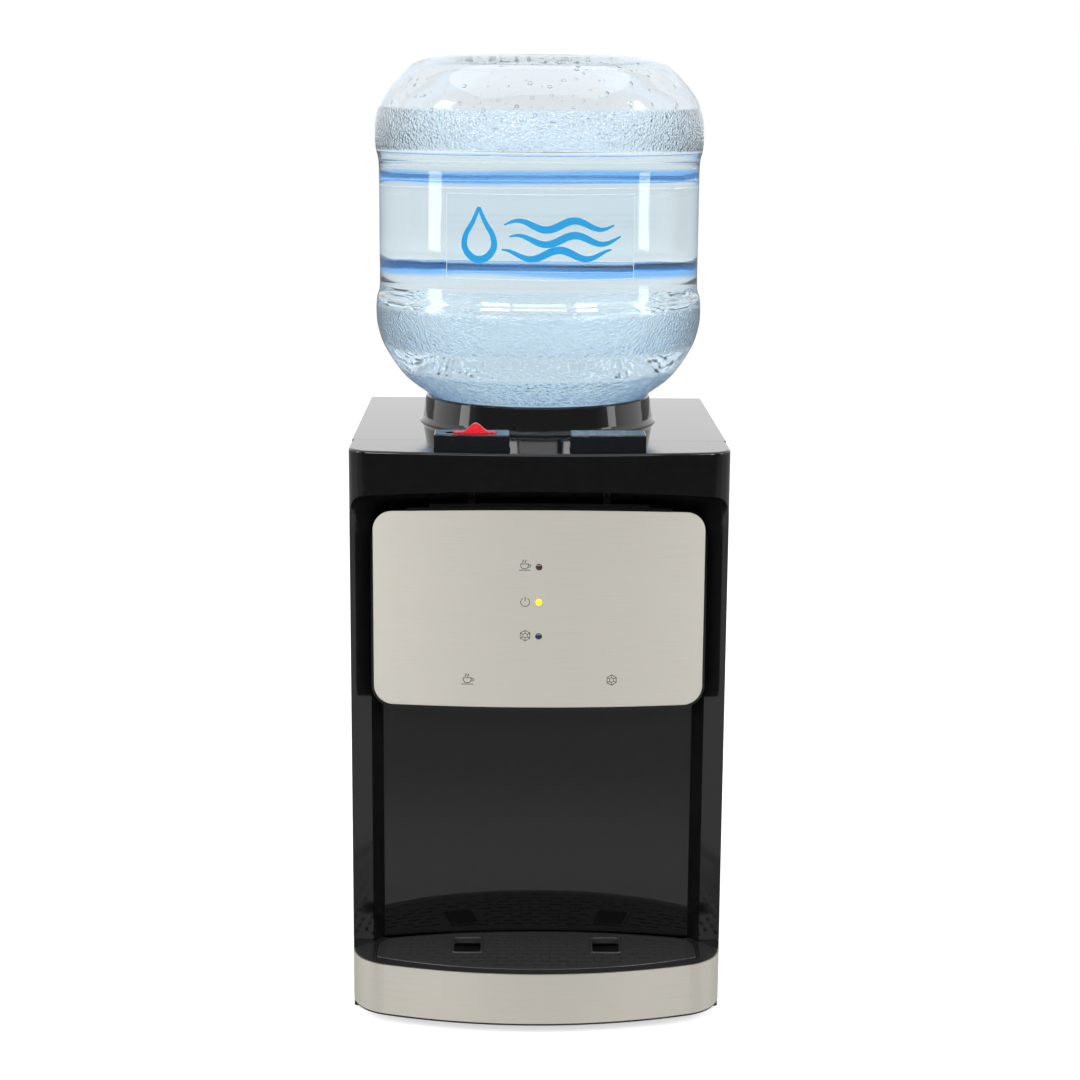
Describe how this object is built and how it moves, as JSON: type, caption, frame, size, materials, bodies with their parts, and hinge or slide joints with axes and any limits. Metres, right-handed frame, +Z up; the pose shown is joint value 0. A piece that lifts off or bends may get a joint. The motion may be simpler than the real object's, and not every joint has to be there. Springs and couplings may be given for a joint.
{
  "type": "countertop water dispenser",
  "caption": "Countertop hot and cold water dispenser with an upturned bottle, push buttons, steel faceplate, cup alcove and drip tray.",
  "frame": {"origin": "centre of the bounding box, on the worktop", "axes": "+Z up, -Y towards the user, +X to the user's right"},
  "size_m": [0.29, 0.348, 0.748],
  "materials": {
    "base_pan": "black ABS, satin",
    "base_band": "brushed stainless",
    "rubber_feet": "moulded rubber",
    "drip_tray": "black ABS",
    "drip_grille": "black ABS, semi gloss",
    "front_frame": "piano black ABS",
    "alcove_liner": "piano black ABS",
    "top_cover": "piano black ABS",
    "left_side_panel": "black powder coat",
    "right_side_panel": "black powder coat",
    "back_panel": "black powder coat",
    "case_screws": "zinc plated",
    "tank_shelf": "galvanised sheet",
    "panel_carrier": "piano black ABS",
    "faceplate": "brushed stainless",
    "hot_lens": "red lens, unlit",
    "power_lens": "amber lens, lit",
    "cold_lens": "blue lens, unlit",
    "indicator_board": "epoxy board",
    "hot_tap": "nylon",
    "cold_tap": "nylon",
    "hot_push_rod": "acetal",
    "cold_push_rod": "acetal",
    "hot_spring": "spring steel",
    "cold_spring": "spring steel",
    "hot_button": "black ABS",
    "cold_button": "black ABS",
    "child_lock": "red ABS",
    "bottle_seat": "piano black ABS",
    "seat_gasket": "silicone",
    "probe": "white polypropylene",
    "bottle": "blue polycarbonate",
    "bottle_cap": "polyethylene",
    "cold_tank": "stainless",
    "cold_tank_lid": "polypropylene",
    "tank_foam": "expanded polystyrene",
    "cold_block": "machined",
    "peltier_module": "ceramic",
    "heat_sink": "extruded",
    "fan_frame": "PBT",
    "fan_rotor": "PBT",
    "fan_guard": "plated wire",
    "hot_tank": "stainless",
    "heater_band": "mica heater band",
    "hot_tank_jacket": "glass wool",
    "thermostats": "pressed can",
    "hot_tank_stand": "galvanised",
    "cold_tube": "silicone",
    "feed_tube": "silicone",
    "hot_tube": "silicone",
    "drain_tube": "silicone",
    "drain_fitting": "nylon",
    "drain_plug": "nylon",
    "switch_housings": "nylon",
    "hot_rocker": "red rocker",
    "cold_rocker": "green rocker",
    "cord_gland": "nylon",
    "power_board": "epoxy board",
    "board_parts": "components",
    "board_posts": "nylon"
  },
  "bodies": {
    "case": {"base_pan": "base_pan", "base_band": "base_band", "rubber_feet": "rubber_feet", "front_frame": "front_frame", "alcove_liner": "alcove_liner", "top_cover": "top_cover", "left_side_panel": "left_side_panel", "right_side_panel": "right_side_panel", "back_panel": "back_panel", "case_screws": "case_screws", "tank_shelf": "tank_shelf", "panel_carrier": "panel_carrier", "faceplate": "faceplate", "hot_lens": "hot_lens", "power_lens": "power_lens", "cold_lens": "cold_lens", "indicator_board": "indicator_board", "hot_tap": "hot_tap", "cold_tap": "cold_tap", "hot_spring": "hot_spring", "cold_spring": "cold_spring", "bottle_seat": "bottle_seat", "seat_gasket": "seat_gasket", "probe": "probe", "cold_tank": "cold_tank", "cold_tank_lid": "cold_tank_lid", "tank_foam": "tank_foam", "cold_block": "cold_block", "peltier_module": "peltier_module", "heat_sink": "heat_sink", "fan_frame": "fan_frame", "fan_guard": "fan_guard", "hot_tank": "hot_tank", "heater_band": "heater_band", "hot_tank_jacket": "hot_tank_jacket", "thermostats": "thermostats", "hot_tank_stand": "hot_tank_stand", "cold_tube": "cold_tube", "feed_tube": "feed_tube", "hot_tube": "hot_tube", "drain_tube": "drain_tube", "drain_fitting": "drain_fitting", "switch_housings": "switch_housings", "cord_gland": "cord_gland", "power_board": "power_board", "board_parts": "board_parts", "board_posts": "board_posts"},
    "hot_button": {"hot_button": "hot_button", "hot_push_rod": "hot_push_rod"},
    "child_lock": {"child_lock": "child_lock"},
    "cold_button": {"cold_button": "cold_button", "cold_push_rod": "cold_push_rod"},
    "drip_tray": {"drip_tray": "drip_tray"},
    "drip_grille": {"drip_grille": "drip_grille"},
    "bottle": {"bottle": "bottle", "bottle_cap": "bottle_cap"},
    "fan_rotor": {"fan_rotor": "fan_rotor"},
    "drain_plug": {"drain_plug": "drain_plug"},
    "hot_rocker": {"hot_rocker": "hot_rocker"},
    "cold_rocker": {"cold_rocker": "cold_rocker"}
  },
  "joints": [
    {"name": "hot_button_press", "type": "slide", "parent": "case", "child": "hot_button", "axis": [0, 0, -1], "range_m": [0, 0.005], "stiffness_N_per_m": 500, "springref_m": -0.004, "deforming": ["hot_spring"]},
    {"name": "cold_button_press", "type": "slide", "parent": "case", "child": "cold_button", "axis": [0, 0, -1], "range_m": [0, 0.005], "stiffness_N_per_m": 500, "springref_m": -0.004, "deforming": ["cold_spring"]},
    {"name": "child_lock_slide", "type": "slide", "parent": "hot_button", "child": "child_lock", "axis": [-1, 0, 0], "range_m": [0, 0.005]},
    {"name": "drip_tray_lift", "type": "slide", "parent": "case", "child": "drip_tray", "axis": [0, 0, 1], "range_m": [0, 0.06]},
    {"name": "drip_grille_lift", "type": "slide", "parent": "drip_tray", "child": "drip_grille", "axis": [0, 0, 1], "range_m": [0, 0.03]},
    {"name": "bottle_lift", "type": "slide", "parent": "case", "child": "bottle", "axis": [0, 0, 1], "range_m": [0, 0.12]},
    {"name": "fan_spin", "type": "hinge", "parent": "case", "child": "fan_rotor", "pos_m": [0, 0.152, 0.34], "axis": [0, 1, 0], "continuous": true},
    {"name": "drain_plug_pull", "type": "slide", "parent": "case", "child": "drain_plug", "axis": [0, 1, 0], "range_m": [0, 0.02]},
    {"name": "hot_switch_rock", "type": "hinge", "parent": "case", "child": "hot_rocker", "pos_m": [-0.03, 0.1615, 0.12], "axis": [1, 0, 0], "range_deg": [0, 17]},
    {"name": "cold_switch_rock", "type": "hinge", "parent": "case", "child": "cold_rocker", "pos_m": [0.03, 0.1615, 0.12], "axis": [1, 0, 0], "range_deg": [0, 17]}
  ]
}
